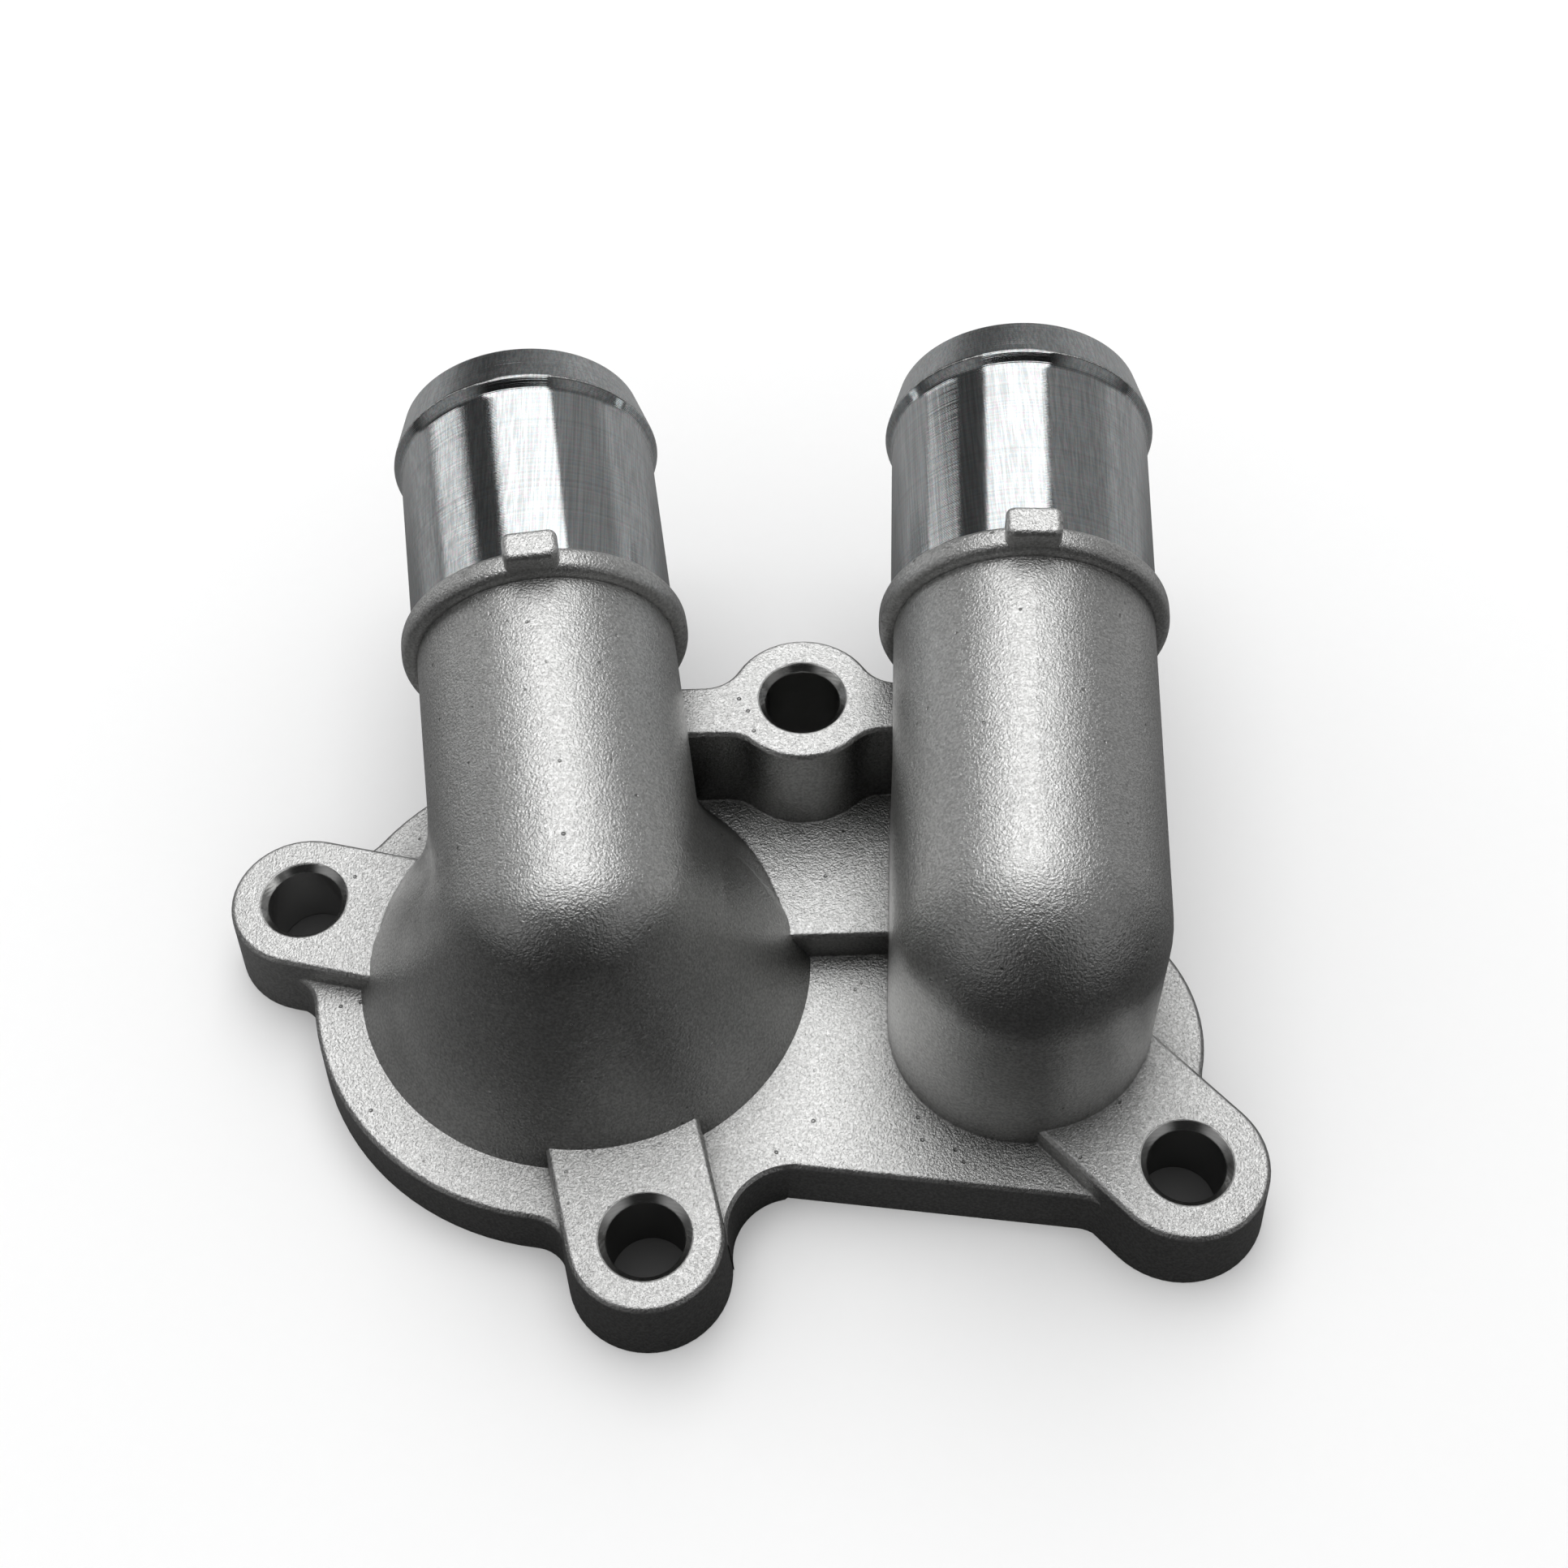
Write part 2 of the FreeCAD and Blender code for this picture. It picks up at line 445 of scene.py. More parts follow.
    def _edges(self, graph: Graph, where: Value) -> tuple[Value, Value]:
        """Eases the sharp edges and finds the ragged ones that are lightened: worn flash with a
        painted highlight.

        Args:
            graph: the graph to add to.
            where: the place in millimetres.

        Returns:
            The surface direction, eased over edges, and 1 on the lightened ragged edges, 0 on
            faces.
        """
        radius = {"Radius": self.edge_radius * MM}
        eased = graph.node("ShaderNodeBevel", {"samples": 4}, radius, out="Normal")
        plain = graph.node("ShaderNodeNewGeometry", out="Normal")
        edge = graph.number("DOT_PRODUCT", eased, plain).rise(0.995, 0.93)
        ragged = graph.noise(where, self.edge_grain, 2.0, 0.6).rise(0.42, 0.6)
        return eased, edge * ragged

    def _cut_zone(self, graph: Graph, where: Value) -> Value:
        """Where the casting is machined: bolt holes with their chamfers, gasket face, valve seat.

        Args:
            graph: the graph to add to.
            where: the place in millimetres.

        Returns:
            1 on machined surfaces, 0 on cast ones.
        """
        up = graph.part(where, "Z")
        zone = up.rise(0.05, 0.03)
        reach = self.hole_radius + self.chamfer_width
        for hole in self.holes:
            zone = zone.upper(graph.from_axis(where, hole).rise(reach + 0.06, reach + 0.01))
        seat = graph.from_axis(where, (0.0, 0.0))
        seat = seat.rise(self.seat_radius + 0.1, self.seat_radius + 0.05)
        return zone.upper(seat * up.rise(self.seat_level + 0.04, self.seat_level + 0.02))

    def _cut_lines(self, graph: Graph, where: Value) -> Value:
        """Fine tool marks: level rings in the holes and wide arcs on the gasket face.

        Args:
            graph: the graph to add to.
            where: the place in millimetres.

        Returns:
            A value from 0 to 1.
        """
        sweep = graph.from_axis(where, self.sweep_middle)
        turns = sweep * self.sweep_rate + graph.part(where, "Z") * self.ring_rate
        return (turns.sine() + 1) * 0.5


@dataclass(frozen=True)
class TurnedMetal:
    """Aluminium turned on a lathe, with fine rings across the neck's line.

    Grains and heights are in millimetres. A tone is a share of the base colour.
    """

    start: Triple
    along: Triple
    colour: Triple = (0.72, 0.73, 0.745)
    tone: float = 0.88
    rough: float = 0.10
    pitch: float = 0.16
    ring_height: float = 0.004
    fine_height: float = 0.006
    drift_grain: float = 1.1
    drift_turn: float = 9.0
    drift_tone: float = 0.3
    band_grain: float = 0.42
    band_tone: float = 0.14
    chatter_grain: float = 0.26
    chatter_stretch: Triple = (1.0, 0.015, 1.0)
    chatter_tone: float = 0.3
    wipe_grain: float = 6.0
    wipe_rough: float = 0.06
    fine_rough: float = 0.05
    tint_grain: float = 0.34
    tint_share: float = 0.8
    tints: tuple[tuple[float, Triple], ...] = (
        (0.0, (1.0, 0.86, 0.95)),
        (0.35, (1.0, 0.99, 0.88)),
        (0.65, (0.87, 1.0, 0.95)),
        (1.0, (0.86, 0.92, 1.0)),
    )

    def material(self, name: str) -> bpy.types.Material:
        """Makes the material.

        Args:
            name: the material's name.

        Returns:
            A material whose rings follow the neck's line.
        """
        material, graph = new_material(name)
        where = graph.vector("SUBTRACT", graph.place_mm(), self.start)
        run = graph.number("DOT_PRODUCT", where, self.along)
        lane = graph.node("ShaderNodeCombineXYZ", sockets={"X": run})
        drift = graph.noise(lane, self.drift_grain, 4.0, 0.7)
        fine = graph.noise(lane, self.pitch, 1.0)
        turns = run * (2 * math.pi / self.pitch) + drift * self.drift_turn
        rings = turns.sine() * 0.5 + 0.5
        height = (rings + drift) * self.ring_height + fine * self.fine_height

        band = graph.noise(lane, self.band_grain, 2.0, 0.6).rise(0.3, 0.7)
        stretched = graph.vector("MULTIPLY", where, self.chatter_stretch)
        chatter = graph.noise(stretched, self.chatter_grain, 2.0, 0.7).rise(0.32, 0.68)
        tone = self.tone + (drift - 0.5) * self.drift_tone + (band - 0.5) * self.band_tone
        tone = tone + (chatter - 0.5) * self.chatter_tone
        shift = graph.noise(where, self.tint_grain, 2.0, 0.7).rise(0.36, 0.64)
        tint = graph.node("ShaderNodeValToRGB", {"stops": self.tints}, {"Fac": shift}, out="Color")
        base = graph.mix(1.0, (*self.colour, 1.0), graph.grey(tone), Blend.DARKEN)
        colour = graph.mix(self.tint_share, base, graph.mix(1.0, base, tint, Blend.DARKEN))

        wipe = graph.noise(where, self.wipe_grain)
        rough = self.rough + (wipe - 0.5) * self.wipe_rough + (fine - 0.5) * self.fine_rough
        graph.metal(colour, rough, graph.bump(height))
        return material


def linked(name: str, mesh: bpy.types.Mesh) -> bpy.types.Object:
    """Checks a mesh and puts it into the scene as an object at the origin."""
    mesh.validate()
    made = bpy.data.objects.new(name, mesh)
    bpy.context.scene.collection.objects.link(made)
    return made


def mesh_object(name: str, points: np.ndarray, faces: np.ndarray) -> bpy.types.Object:
    """An object from arrays.

    Args:
        name: the object's name.
        points: places in metres.
        faces: four corners of each face.

    Returns:
        The object, smooth-shaded and in the scene.
    """
    mesh = bpy.data.meshes.new(name)
    mesh.vertices.add(len(points))
    mesh.vertices.foreach_set("co", points.astype(np.float32).ravel())
    mesh.loops.add(faces.size)
    mesh.loops.foreach_set("vertex_index", faces.astype(np.int32).ravel())
    mesh.polygons.add(len(faces))
    mesh.polygons.foreach_set("loop_start", np.arange(0, faces.size, 4, dtype=np.int32))
    mesh.polygons.foreach_set("use_smooth", np.ones(len(faces), dtype=bool))
    mesh.update(calc_edges=True)
    return linked(name, mesh)


def loop_mesh(name: str, grid: np.ndarray) -> bpy.types.Object:
    """A closed ring of surface from a grid of points whose rows and columns both wrap round.

    Args:
        name: the object's name.
        grid: points in metres, by row round the neck and column along the profile.

    Returns:
        The object, smooth-shaded and in the scene.
    """
    rows, columns, _ = grid.shape
    index = np.arange(rows * columns).reshape(rows, columns)
    ahead = np.roll(index, -1, axis=1)
    below = np.roll(index, -1, axis=0)
    faces = np.stack([index, ahead, np.roll(ahead, -1, axis=0), below], axis=-1)
    return mesh_object(name, grid.reshape(-1, 3), faces.reshape(-1, 4))


def ring_quads(count: int, around: int) -> tuple[np.ndarray, np.ndarray]:
    """The faces between closed rings in a row.

    Args:
        count: how many rings.
        around: points to each ring.

    Returns:
        The points' numbers by ring and place round it, and four corners of each face.
    """
    index = np.arange(count * around).reshape(count, around)
    ahead = np.roll(index, -1, axis=1)
    faces = np.stack([index[:-1], ahead[:-1], ahead[1:], index[1:]], axis=-1)
    return index, faces.reshape(-1, 4)


def closed_strip(name: str, sections: np.ndarray) -> bpy.types.Object:
    """A solid from closed sections in a row, joined by quads and closed by the first and the last.

    Args:
        name: the object's name.
        sections: points in metres, by section and place round it.

    Returns:
        The object, flat-shaded and in the scene.
    """
    index, faces = ring_quads(*sections.shape[:2])
    mesh = bpy.data.meshes.new(name)
    caps = [index[0, ::-1].tolist(), index[-1].tolist()]
    mesh.from_pydata(sections.reshape(-1, 3).tolist(), [], faces.tolist() + caps)
    return linked(name, mesh)


def closed_shell(name: str, outer: np.ndarray, inner: np.ndarray) -> bpy.types.Object:
    """A closed shell between two domed skins, joined along the foot and closed at the top.

    Args:
        name: the object's name.
        outer: the outer skin's points in metres, by row from the foot up and by column.
        inner: the inner skin's points.

    Returns:
        The object, smooth-shaded and in the scene.
    """
    rings = np.concatenate([inner[::-1], outer], axis=0)
    index, faces = ring_quads(*rings.shape[:2])
    ahead = np.roll(index, -1, axis=1)
    tops = np.array([inner[-1].mean(axis=0), outer[-1].mean(axis=0)])
    points = np.concatenate([rings.reshape(-1, 3), tops])
    low, high = np.full_like(index[0], index.size), np.full_like(index[0], index.size + 1)
    caps = [
        np.stack([ahead[0], index[0], low], axis=-1),
        np.stack([index[-1], ahead[-1], high], axis=-1),
    ]
    mesh = bpy.data.meshes.new(name)
    mesh.from_pydata(points.tolist(), [], faces.tolist() + np.concatenate(caps).tolist())
    mesh.polygons.foreach_set("use_smooth", np.ones(len(mesh.polygons), dtype=bool))
    return linked(name, mesh)


def rounded(corners: Sequence[Triple], steps: int, longest: float = 1.2) -> np.ndarray:
    """A closed profile with its corners rounded and its long sides divided.

    Each corner C is replaced by a curve from one side to the other: points (1-t)^2 A + 2t(1-t) C +
    t^2 B, with A and B on the two sides at the corner's reach.

    Args:
        corners: radius, place along and reach of the rounding of each corner, round a loop.
        steps: points to each rounding, less one.
        longest: the longest side left undivided, in millimetres.

    Returns:
        The points as rows of radius and place along.
    """
    spots = np.array([corner[:2] for corner in corners])
    reach = np.array([corner[2] for corner in corners])[:, None]
    before = np.roll(spots, 1, axis=0) - spots
    after = np.roll(spots, -1, axis=0) - spots
    start = spots + before / np.linalg.norm(before, axis=1, keepdims=True) * reach
    end = spots + after / np.linalg.norm(after, axis=1, keepdims=True) * reach
    t = np.linspace(0.0, 1.0, steps + 1)[None, :, None]
    curve = (1 - t) ** 2 * start[:, None] + 2 * t * (1 - t) * spots[:, None] + t**2 * end[:, None]
    keep = np.repeat(reach > 0, steps + 1, axis=1)
    keep[:, 0] = True
    return divided(curve[keep], longest)


def divided(loop: np.ndarray, longest: float, close: float = 0.02) -> np.ndarray:
    """A closed profile with points added on its long sides, so that its shading stays flat there.

    A side from A to B gets points A + s (B - A), with s at 0, close to 0, at even steps and close
    to 1.

    Args:
        loop: rows of radius and place along.
        longest: the longest side left undivided, in millimetres.
        close: how close the rows beside the ends are, as a share of the side.

    Returns:
        The profile with the added rows.
    """
    sides = np.roll(loop, -1, axis=0) - loop
    counts = np.ceil(np.linalg.norm(sides, axis=1) / longest).astype(int)
    even = [np.arange(1, count) / count for count in counts]
    shares = [np.hstack([0.0, close, row, 1 - close]) if len(row) else np.zeros(1) for row in even]
    spans = np.repeat(np.arange(len(loop)), [len(share) for share in shares])
    share = np.concatenate(shares)[:, None]
    return loop[spans] + sides[spans] * share


@dataclass
class Neck:
    """A hose neck's line, with the collar and the spigot at its end."""

    side: str
    start: Triple
    turn: float
    length: float
    tilt: float = 3.0
    neck_radius: float = 14.7
    collar_radius: float = 16.35
    collar_width: float = 3.2
    collar_rounding: float = 1.2
    hose_radius: float = 15.0
    spigot_length: float = 23.6
    bead_radius: float = 15.8
    bead_rise: float = 1.4
    lead_in_length: float = 5.5
    lead_in_radius: float = 14.3
    skin: float = 0.015
    depth: float = 0.4
    turns: int = 240

    def along(self) -> Triple:
        """The direction of the neck."""
        turn = math.radians(self.turn)
        tilt = math.radians(self.tilt)
        return (math.sin(turn) * math.cos(tilt), math.cos(turn) * math.cos(tilt), math.sin(tilt))

    def square(self) -> tuple[np.ndarray, np.ndarray]:
        """The level and the upright direction square to the neck.

        Returns:
            The direction across, to the right of the neck's line, and the one up.
        """
        along = np.array(self.along())
        across = np.cross(along, (0.0, 0.0, 1.0))
        across /= np.linalg.norm(across)
        return across, np.cross(across, along)

    def turned_round(self, profile: np.ndarray) -> np.ndarray:
        """A profile carried round the neck's line.

        A point at radius r and place d goes to start + d along + r (cos a across + sin a up).

        Args:
            profile: rows of radius and place along, in millimetres.

        Returns:
            A grid of points in metres.
        """
        across, up = self.square()
        angle = np.linspace(0.0, 2 * math.pi, self.turns, endpoint=False)[:, None, None]
        ray = np.cos(angle) * across + np.sin(angle) * up
        line = np.array(self.start) + profile[None, :, 1:] * np.array(self.along())
        return (line + profile[None, :, :1] * ray) * MM

    def build(self, cast: bpy.types.Material) -> list[bpy.types.Object]:
        """Makes the collar ring and the turned spigot.

        Args:
            cast: the casting's finish, for the ring.

        Returns:
            The two pieces.
        """
        ring = loop_mesh(f"{self.side}_collar_ring", self.turned_round(self._ring_profile()))
        ring.data.materials.append(cast)
        spigot = loop_mesh(f"{self.side}_spigot_land", self.turned_round(self._spigot_profile()))
        finish = TurnedMetal(self.start, self.along())
        spigot.data.materials.append(finish.material(f"turned_{self.side}"))
        return [ring, spigot]

    def _ring_profile(self) -> np.ndarray:
        """The collar's section: a cast ring with full rounded shoulders."""
        low = self.length - self.skin
        high = self.length + self.collar_width + self.skin
        top = self.collar_radius + self.skin
        inner = self.neck_radius - self.depth
        bend = self.collar_rounding
        corners = [(inner, high, 0.0), (top, high, bend), (top, low, bend), (inner, low, 0.0)]
        return rounded(corners, 8)

    def _spigot_profile(self) -> np.ndarray:
        """The spigot's section: land, bead with a hollow flank and a crest, lead-in and mouth."""
        skin = self.skin
        inner = self.hose_radius - 2 * self.depth
        start = self.length + self.collar_width - 0.3
        flank = self.length + self.collar_width + self.spigot_length
        crest = flank + self.bead_rise
        mouth = crest + self.lead_in_length
        return rounded([
            (inner, mouth - 0.1, 0.0),
            (self.lead_in_radius + skin, mouth - 0.01, 0.0),
            (self.bead_radius + skin, crest, 0.25),
            (self.hose_radius + skin, flank, 0.5),
            (self.hose_radius + skin, start, 0.0),
            (inner, start, 0.0),
        ], 6)


@dataclass
class CornerWeb:
    """The rounded inside corner between the front lug and the flange's front edge."""

    middle: Pair = (23.06, -33.23)
    radius: float = 7.0
    radius_height: float = 3.6
    ends: Pair = (98.4, 191.5)
    inner: tuple[Pair, ...] = ((23.4, -25.6), (14.6, -23.4), (12.6, -27.0), (14.6, -33.6))
    plate: float = 7.2
    skin: float = 0.012
    draft: float = 3.2
    chamfer: float = 0.4
    columns: int = 48

    def build(self, cast: bpy.types.Material) -> bpy.types.Object:
        """Makes the web as sections carried along the corner's arc.

        A section goes from the arc's wall at the bottom, up it with its draft, over the chamfer and
        across the top to a line inside the casting, and back down there.

        Args:
            cast: the casting's finish.

        Returns:
            The piece.
        """
        share = np.linspace(0.0, 1.0, self.columns)
        angle = np.radians(self.ends[0] + (self.ends[1] - self.ends[0]) * share)
        way = np.stack([np.cos(angle), np.sin(angle)], axis=-1)
        line = np.array(self.inner)
        legs = np.concatenate([[0.0], np.cumsum(np.linalg.norm(np.diff(line, axis=0), axis=1))])
        inner = np.column_stack([np.interp(share * legs[-1], legs, part) for part in line.T])
        top = self.plate + self.skin
        steep = math.tan(math.radians(self.draft))
        last = (top - self.radius_height) * steep + self.chamfer
        levels = (0.0, 0.3, 3.4, top - self.chamfer - 0.1, top - self.chamfer)
        wall = [(z, (z - self.radius_height) * steep) for z in levels]
        wall += [(top, last), (top, last + 0.1)]
        rows = [self._level(self._arc(way, more), z) for z, more in wall]
        rows += [self._level(inner, z) for z in (top, 0.0)]
        piece = closed_strip("front_corner_web", np.stack(rows, axis=1) * MM)
        piece.data.materials.append(cast)
        return piece

    def _arc(self, way: np.ndarray, more: float) -> np.ndarray:
        """Points on the corner's arc, its radius grown by some millimetres."""
        return np.array(self.middle) + way * (self.radius + more)

    @staticmethod
    def _level(flat: np.ndarray, height: float) -> np.ndarray:
        """Flat points set at a height."""
        return np.column_stack([flat, np.full(len(flat), height)])


@dataclass
class Shoulder:
    """The dome over the valve chamber: a leaning cone that runs into the left neck's top.

    It is worked out as the distance along rays from a point inside to a joined shape of two round
    cones and the neck, then softened where they meet.
    """

    neck: Neck
    heart: Triple = (0.2, -2.5, 14.0)
    ball: Triple = (0.45, -4.1, 26.45)
    ball_radius: float = 14.72
    brow: float = 10.0
    lean: float = 8.0
    slope: float = 25.0
    foot_x: float = -0.2
    foot_radius: float = 25.42
    foot_slope: float = 27.0
    foot_top: float = 33.6
    plate: float = 7.2
    neck_reach: float = 30.0
    blend: float = 6.5
    wall: float = 1.0
    roof_width: float = 0.8
    roof_full: float = 7.0
    roof_spread: float = 0.6
    lowest: float = -19.0
    back_lowest: float = 62.0
    highest: float = 88.5
    front_half: float = 96.0
    back_half: float = 150.0
    sink: float = 0.11
    side_sink: float = 0.5
    sink_start: float = 12.0
    sink_rise: float = 15.0
    furthest: float = 60.0
    halvings: int = 24
    columns: int = 330
    rows: int = 140
    softening: int = 5

    def build(self, cast: bpy.types.Material) -> bpy.types.Object:
        """Makes the shoulder as a closed shell whose edge is sunk in the casting's wall.

        Each column of rays starts at the foot in front and climbs to the neck's top at the back.
        Near that climbing edge the shell sinks by a soft step.

        Args:
            cast: the casting's finish.

        Returns:
            The piece.
        """
        turn = np.linspace(0.0, 2 * math.pi, self.columns, endpoint=False)[None, :]
        aside = np.degrees(np.arccos(np.clip(-np.sin(turn), -1.0, 1.0)))
        climb = self._soft_step((aside - self.front_half) / (self.back_half - self.front_half))
        low = self.lowest + (self.back_lowest - self.lowest) * climb
        share = np.linspace(0.0, 1.0, self.rows)[:, None]
        height = low + (self.highest - low) * share
        rise = np.radians(height)
        level = np.cos(rise)
        ray = np.stack([level * np.cos(turn), level * np.sin(turn), np.sin(rise)], axis=-1)
        depth = self.sink + self.side_sink * (1 - climb)
        depth = depth * np.clip(climb * self.sink_start, 0.0, 1.0)
        sunk = depth * (1 - self._soft_step((height - low) / self.sink_rise))
        reach = self._softened(self._reach(ray)) - sunk
        outer = np.array(self.heart) + ray * reach[..., None]
        inner = np.array(self.heart) + ray * (reach - self.wall)[..., None]
        piece = closed_shell("chamber_shoulder", outer * MM, inner * MM)
        piece.data.materials.append(cast)
        return piece

    @staticmethod
    def _soft_step(share: np.ndarray) -> np.ndarray:
        """A soft step: 3 s^2 - 2 s^3 of the share s, kept from 0 to 1."""
        kept = np.clip(share, 0.0, 1.0)
        return kept * kept * (3 - 2 * kept)

    def _reach(self, ray: np.ndarray) -> np.ndarray:
        """How far each ray goes from the heart to the surface, by halving the span again and again.

        Args:
            ray: directions.

        Returns:
            Distances in millimetres.
        """
        near = np.zeros(ray.shape[:-1])
        far = np.full(ray.shape[:-1], self.furthest)
        for _ in range(self.halvings):
            middle = (near + far) / 2
            inside = self._depth(np.array(self.heart) + ray * middle[..., None]) < 0
            near = np.where(inside, middle, near)
            far = np.where(inside, far, middle)
        return (near + far) / 2

    def _depth(self, point: np.ndarray) -> np.ndarray:
        """Signed distance to the neck and two cones in one, below 0 inside.

        The distances a and b to the neck and the upright cone join as min(a, b) - h^2 k / 4, with
        h = 1 - |a - b| / k above 0 and k = 4 r (1 - cos(g / 2)) for a hollow of radius r and an
        angle g between them. The leaning cone is cut by the roof as max(a, b) + h^2 k / 4, for a
        rounded brow.

        Args:
            point: places in millimetres.

        Returns:
            The distances.
        """
        lean = math.radians(self.lean)
        axis = np.array([0.0, -math.sin(lean), math.cos(lean)])
        slope = math.radians(self.slope)
        tip = np.array(self.ball) + axis * self.ball_radius / math.sin(slope)
        leaning, leaning_out = self._cone(point, tip, axis, slope)
        roof, roof_out = self._roof(point)
        span, share = self._meeting(leaning, leaning_out, roof, roof_out, self.brow)
        body = np.maximum(leaning, roof) + share**2 * span / 4
        spread = math.radians(self.foot_slope)
        peak = np.array([self.foot_x, 0.0, self.plate + self.foot_radius / math.tan(spread)])
        upright, upright_out = self._cone(point, peak, np.array([0.0, 0.0, 1.0]), spread)
        upright = np.maximum(upright, point[..., 2] - self.foot_top)
        neck, neck_out = self._bar(point)
        span, share = self._meeting(upright, upright_out, neck, neck_out, self.blend)
        return np.minimum(body, np.minimum(upright, neck) - share**2 * span / 4)

    @staticmethod
    def _meeting(
        first: np.ndarray,
        first_out: np.ndarray,
        second: np.ndarray,
        second_out: np.ndarray,
        radius: float,
    ) -> tuple[np.ndarray, np.ndarray]:
        """The span k over which two surfaces blend, and the share h of the blend at each point.

        Args:
            first: distances to one surface.
            first_out: its outward directions.
            second: distances to the other surface.
            second_out: its outward directions.
            radius: radius of the blend.

        Returns:
            k and h of the formula in _depth.
        """
        facing = np.clip(np.sum(first_out * second_out, axis=-1), -1.0, 1.0)
        span = 4 * radius * (1 - np.sqrt((1 + facing) / 2)) + 1e-6
        return span, np.clip(1 - np.abs(first - second) / span, 0.0, 1.0)

    def _roof(self, point: np.ndarray) -> tuple[np.ndarray, np.ndarray]:
        """Signed distance to the neck's top carried on forward, and the way out of it.

        With a across and u up from the neck's line, it is sqrt(w a^2 + u^2) less the radius, where
        w rises from the roof's width at the line to 1 further up. Below the line, the spread times
        u is added, so that the cone can widen.

        Args:
            point: places in millimetres.

        Returns:
            The distances and the outward directions.
        """
        across, up = self.neck.square()
        off = point - np.array(self.neck.start)
        aside, high = off @ across, off @ up
        weight = self.roof_width + (1 - self.roof_width) * self._soft_step(high / self.roof_full)
        above = np.clip(high, 0.0, None)
        size = np.sqrt(weight * aside**2 + above**2) + 1e-9
        out = (weight * aside)[..., None] * across + (above + 1e-6)[..., None] * up
        out /= np.linalg.norm(out, axis=-1)[..., None]
        return size - self.ball_radius + self.roof_spread * np.clip(high, None, 0.0), out

    def _bar(self, point: np.ndarray) -> tuple[np.ndarray, np.ndarray]:
        """Signed distance to the neck as a round-ended bar of the ball's radius, and the way out.

        Args:
            point: places in millimetres.

        Returns:
            The distances and the outward directions.
        """
        start = np.array(self.neck.start)
        line = np.array(self.neck.along()) * self.neck_reach
        share = np.clip(((point - start) @ line) / (line @ line), 0.0, 1.0)
        off = point - start - share[..., None] * line
        size = np.linalg.norm(off, axis=-1)
        return size - self.ball_radius, off / (size[..., None] + 1e-9)

    @staticmethod
    def _cone(
        point: np.ndarray, tip: np.ndarray, axis: np.ndarray, slope: float
    ) -> tuple[np.ndarray, np.ndarray]:
        """Signed distance to an endless cone: off-axis distance times cos s less drop times sin s.

        Args:
            point: places in millimetres.
            tip: the cone's tip.
            axis: direction from its base to its tip.
            slope: half angle s in radians.

        Returns:
            The distances and the outward directions.
        """
        drop = (tip - point) @ axis
        off = point - tip + drop[..., None] * axis
        size = np.linalg.norm(off, axis=-1)
        out = off / (size[..., None] + 1e-9) * math.cos(slope) + axis * math.sin(slope)
        return size * math.cos(slope) - drop * math.sin(slope), out

    def _softened(self, reach: np.ndarray) -> np.ndarray:
        """The distances averaged with their neighbours a few times, so that creases become hollows.

        Each pass takes (a + 2b + c) / 4 along rows and along columns.

        Args:
            reach: distances by row and column.

        Returns:
            The softened distances.
        """
        soft = reach
        for _ in range(self.softening):
            soft = (np.roll(soft, 1, axis=1) + 2 * soft + np.roll(soft, -1, axis=1)) / 4
            padded = np.concatenate([2 * soft[:1] - soft[1:2], soft, soft[-1:]], axis=0)
            soft = (padded[:-2] + 2 * soft + padded[2:]) / 4
        return soft


